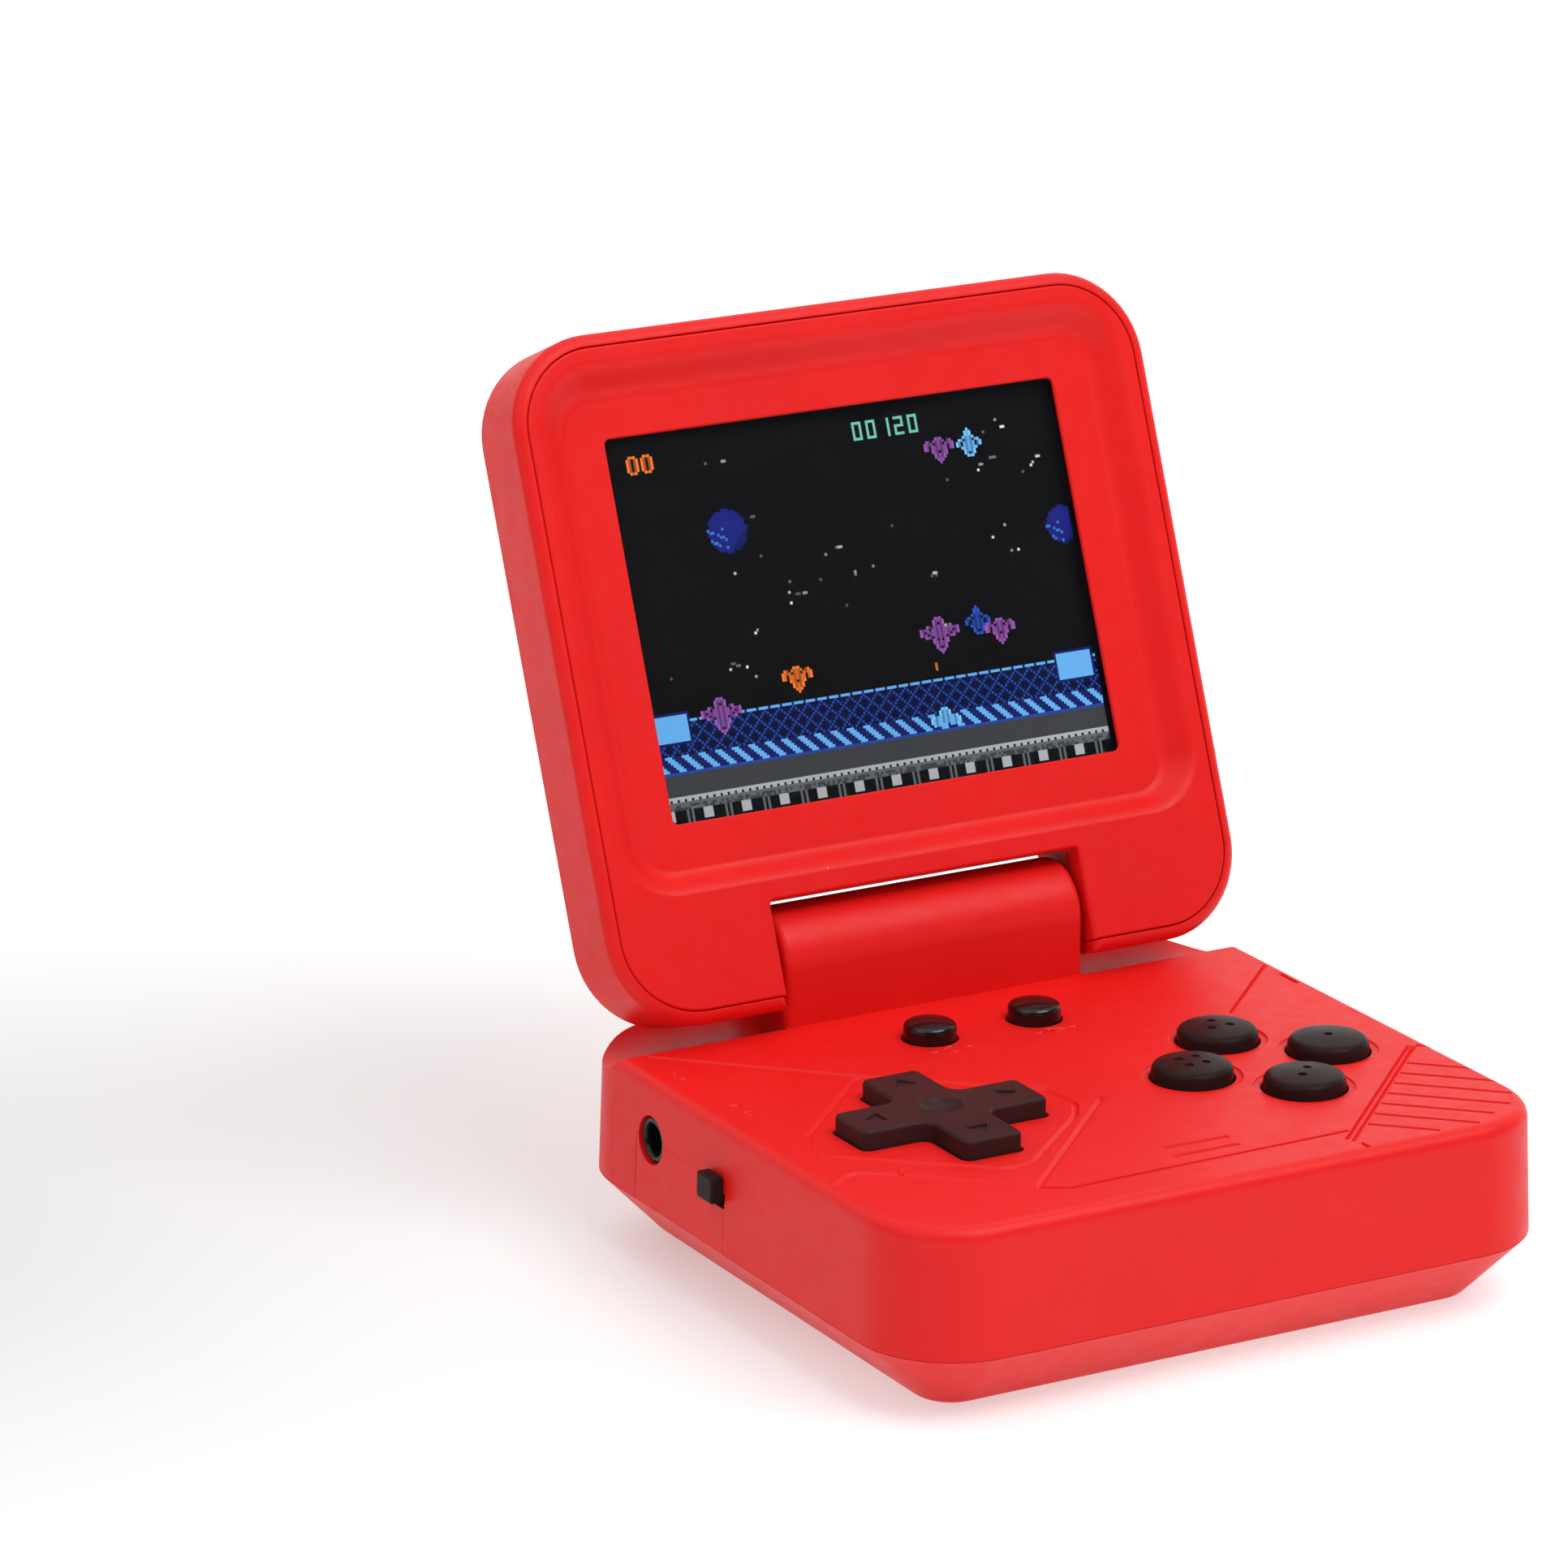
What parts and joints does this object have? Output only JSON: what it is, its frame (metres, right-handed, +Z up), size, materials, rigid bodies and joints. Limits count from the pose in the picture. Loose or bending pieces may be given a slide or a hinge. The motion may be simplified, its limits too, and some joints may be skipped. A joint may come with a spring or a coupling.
{
  "type": "handheld game console",
  "caption": "Clamshell handheld video game: hinged lid with a colour screen over a base with a direction pad, round buttons, an audio jack and a power slide.",
  "frame": {"origin": "centre of the base's flat underside, on the battery cover's outer face", "axes": "+X to the player's right, +Y from the player to the hinge, +Z up. The lid is open, leaning back 21.4 degrees from upright."},
  "size_m": [0.0831, 0.1006, 0.0963],
  "materials": {
    "red_shell": "satin moulded ABS, very fine grain",
    "black_controls": "semi-matte moulded plastic",
    "gloss_controls": "polished black plastic",
    "screen_glass": "clear hard-coated acrylic",
    "display": "lit colour LCD",
    "metal": "nickel-plated steel",
    "circuit_board": "green solder mask",
    "chip": "matte black epoxy",
    "grey_rubber": "moulded silicone",
    "cell_wrap": "shrink-wrapped dry cell",
    "wire": "bundle of thin wires in a sleeve"
  },
  "bodies": {
    "base": {"base_top_shell": "red_shell", "base_bottom_shell": "red_shell", "main_board": "circuit_board", "processor_chip": "chip", "audio_jack": "gloss_controls", "power_switch_body": "metal", "speaker": "metal", "battery_cell_1": "cell_wrap", "battery_cell_2": "cell_wrap", "battery_cell_3": "cell_wrap", "battery_spring_1": "metal", "battery_spring_2": "metal", "battery_spring_3": "metal", "battery_contact_1": "metal", "battery_contact_2": "metal", "battery_contact_3": "metal", "case_screw_1": "metal", "case_screw_2": "metal", "case_screw_3": "metal", "case_screw_4": "metal", "membrane_action": "grey_rubber", "membrane_dpad": "grey_rubber", "membrane_menu": "grey_rubber", "hinge_clutch": "metal", "display_cable_base": "wire"},
    "lid": {"lid_back_shell": "red_shell", "lid_bezel": "red_shell", "screen_lens": "screen_glass", "lcd_panel": "display", "lcd_tray": "metal", "display_board": "circuit_board", "display_cable_lid": "wire", "hinge_pin_left": "metal", "hinge_pin_right": "metal"},
    "button_a": {"button_a": "black_controls"},
    "button_b": {"button_b": "black_controls"},
    "button_x": {"button_x": "black_controls"},
    "button_y": {"button_y": "black_controls"},
    "button_start": {"button_start": "gloss_controls"},
    "button_reset": {"button_reset": "gloss_controls"},
    "dpad_pivot": {"dpad_pivot_disc": "black_controls"},
    "dpad": {"dpad": "black_controls"},
    "power_knob": {"power_switch_knob": "black_controls"},
    "battery_cover": {"battery_door": "red_shell", "battery_door_screw": "metal"}
  },
  "joints": [
    {"name": "lid_hinge", "type": "hinge", "parent": "base", "child": "lid", "pos_m": [0, 0.0323, 0.0283], "axis": [1, 0, 0], "range_deg": [0, 111.4]},
    {"name": "press_a", "type": "slide", "parent": "base", "child": "button_a", "axis": [0, 0, -1], "range_m": [0, 0.001], "stiffness_N_per_m": 400, "deforming": ["membrane_action"]},
    {"name": "press_b", "type": "slide", "parent": "base", "child": "button_b", "axis": [0, 0, -1], "range_m": [0, 0.001], "stiffness_N_per_m": 400, "deforming": ["membrane_action"]},
    {"name": "press_x", "type": "slide", "parent": "base", "child": "button_x", "axis": [0, 0, -1], "range_m": [0, 0.001], "stiffness_N_per_m": 400, "deforming": ["membrane_action"]},
    {"name": "press_y", "type": "slide", "parent": "base", "child": "button_y", "axis": [0, 0, -1], "range_m": [0, 0.001], "stiffness_N_per_m": 400, "deforming": ["membrane_action"]},
    {"name": "press_start", "type": "slide", "parent": "base", "child": "button_start", "axis": [0, 0, -1], "range_m": [0, 0.0008], "stiffness_N_per_m": 400, "deforming": ["membrane_menu"]},
    {"name": "press_reset", "type": "slide", "parent": "base", "child": "button_reset", "axis": [0, 0, -1], "range_m": [0, 0.0008], "stiffness_N_per_m": 400, "deforming": ["membrane_menu"]},
    {"name": "dpad_rock_up_down", "type": "hinge", "parent": "base", "child": "dpad_pivot", "pos_m": [-0.0199, -0.00845, 0.018], "axis": [1, 0, 0], "range_deg": [-1.8, 1.8], "stiffness_Nm_per_rad": 0.3, "deforming": ["membrane_dpad"]},
    {"name": "dpad_rock_left_right", "type": "hinge", "parent": "dpad_pivot", "child": "dpad", "pos_m": [-0.0199, -0.00845, 0.018], "axis": [0, 1, 0], "range_deg": [-1.8, 1.8], "stiffness_Nm_per_rad": 0.3, "deforming": ["membrane_dpad"]},
    {"name": "power_slide", "type": "slide", "parent": "base", "child": "power_knob", "axis": [0, 1, 0], "range_m": [0, 0.003]},
    {"name": "battery_cover_lift", "type": "slide", "parent": "base", "child": "battery_cover", "axis": [0, 0, -1], "range_m": [0, 0.02]}
  ]
}
